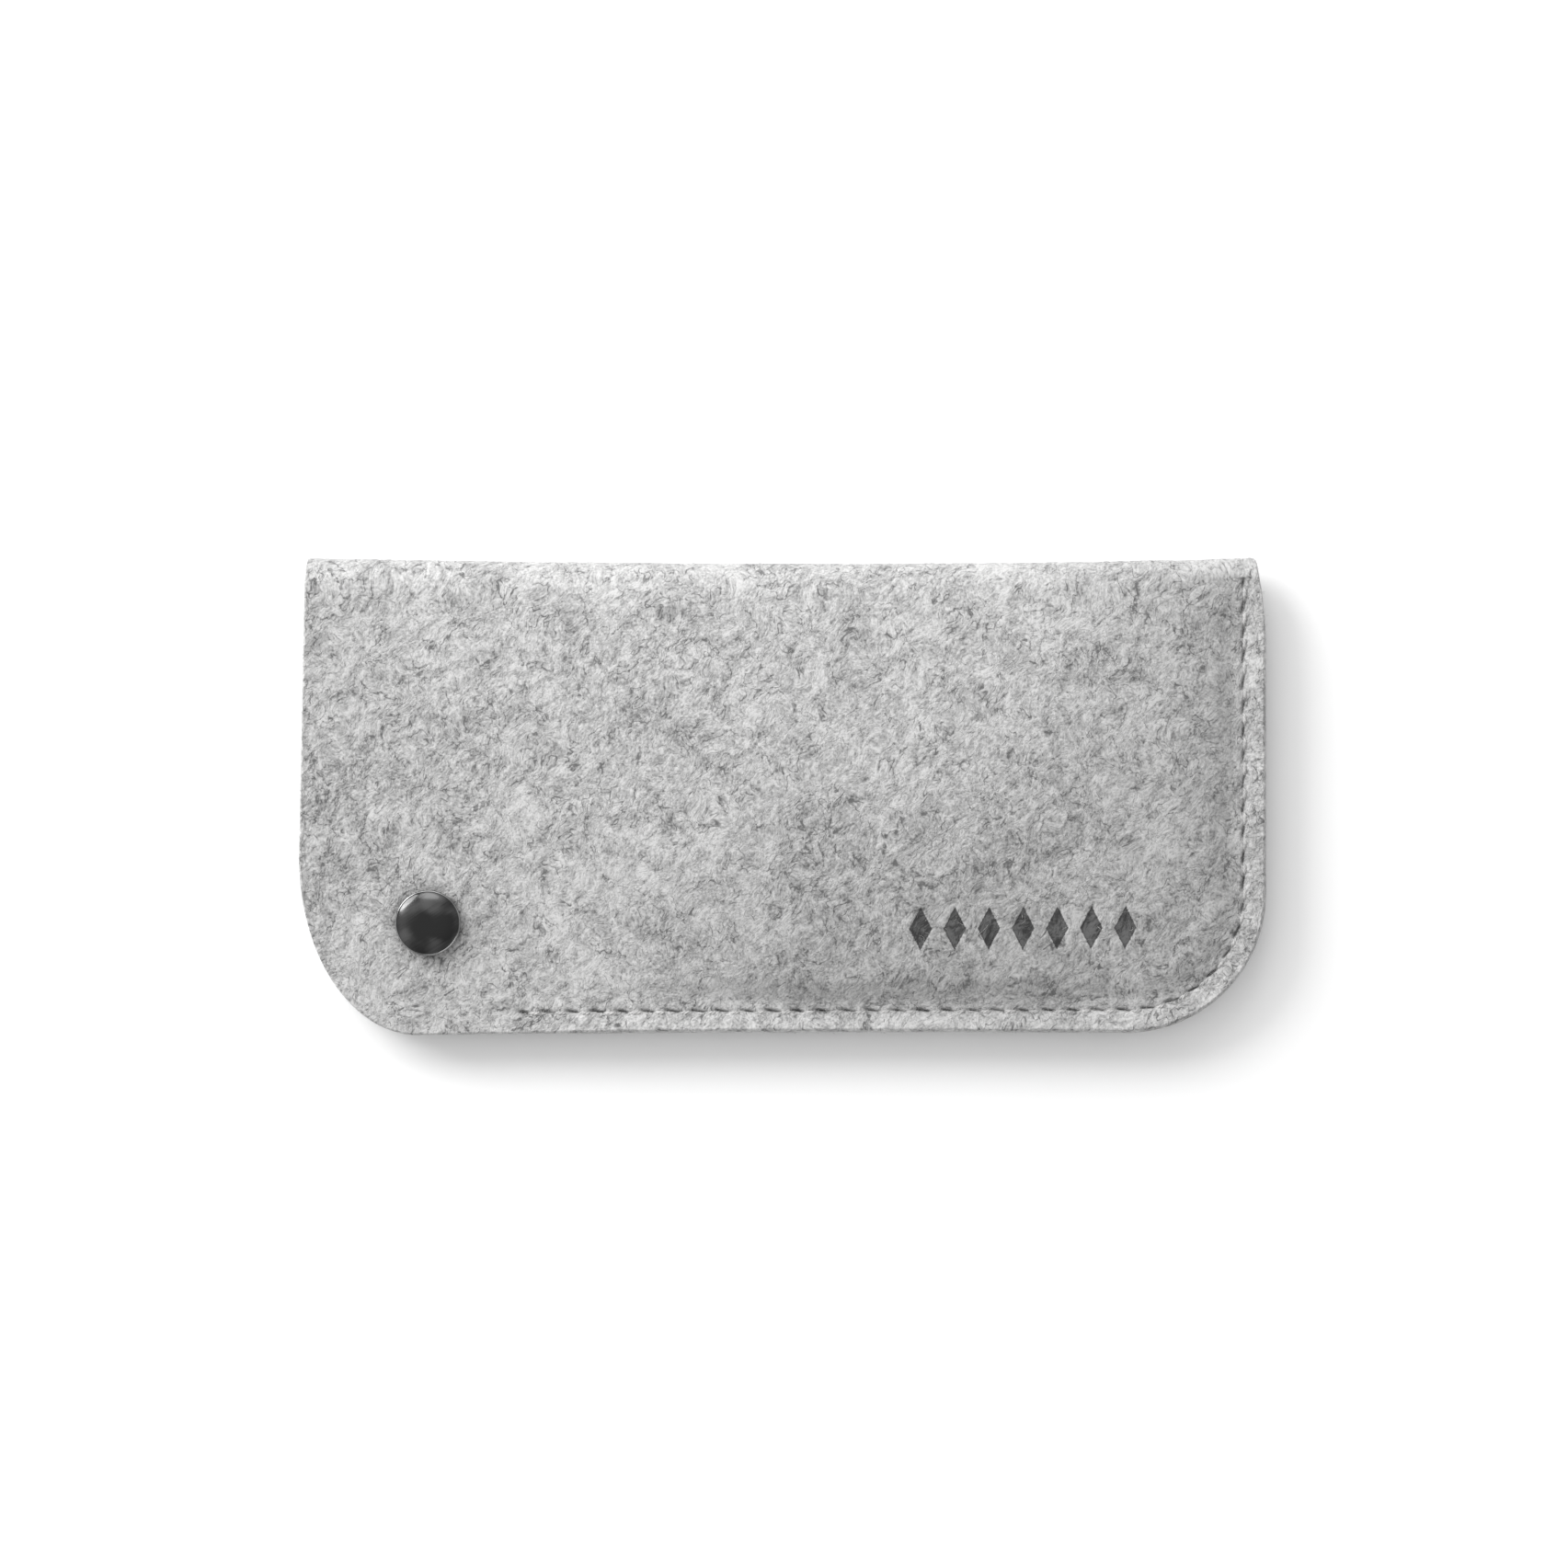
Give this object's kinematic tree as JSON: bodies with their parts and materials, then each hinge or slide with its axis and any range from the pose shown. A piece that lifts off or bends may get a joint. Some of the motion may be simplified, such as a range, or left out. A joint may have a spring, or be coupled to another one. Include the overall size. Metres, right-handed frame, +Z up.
{
  "type": "soft pouch glasses case",
  "caption": "Folded felt pouch for spectacles, lockstitched along one end and one side, open at the other end, with a lifting mouth corner held by a metal press snap.",
  "frame": {"origin": "centre of the object's box, on the plane that the back panel rests on", "axes": "+X towards the stitched end, with the mouth at -X; +Y towards the folded edge; +Z up, out of the front panel"},
  "size_m": [0.18, 0.0891, 0.02],
  "materials": {
    "felt": "matte",
    "thread": "matte",
    "gunmetal": "satin",
    "spring_steel": "satin"
  },
  "bodies": {
    "pouch": {"back_panel": "felt", "front_panel": "felt", "needle_thread": "thread", "bobbin_thread": "thread", "snap_stud": "gunmetal", "stud_post": "gunmetal"},
    "flap": {"mouth_flap": "felt", "snap_cap": "gunmetal", "cap_rivet": "gunmetal", "snap_socket": "gunmetal", "socket_spring": "spring_steel"}
  },
  "joints": [
    {"name": "mouth_flap_lift", "type": "hinge", "parent": "pouch", "child": "flap", "pos_m": [-0.0496, -0.0404, 0.00805], "axis": [-0.4548, 0.8889, 0.0549], "range_deg": [0, 90], "stiffness_Nm_per_rad": 0.01}
  ]
}
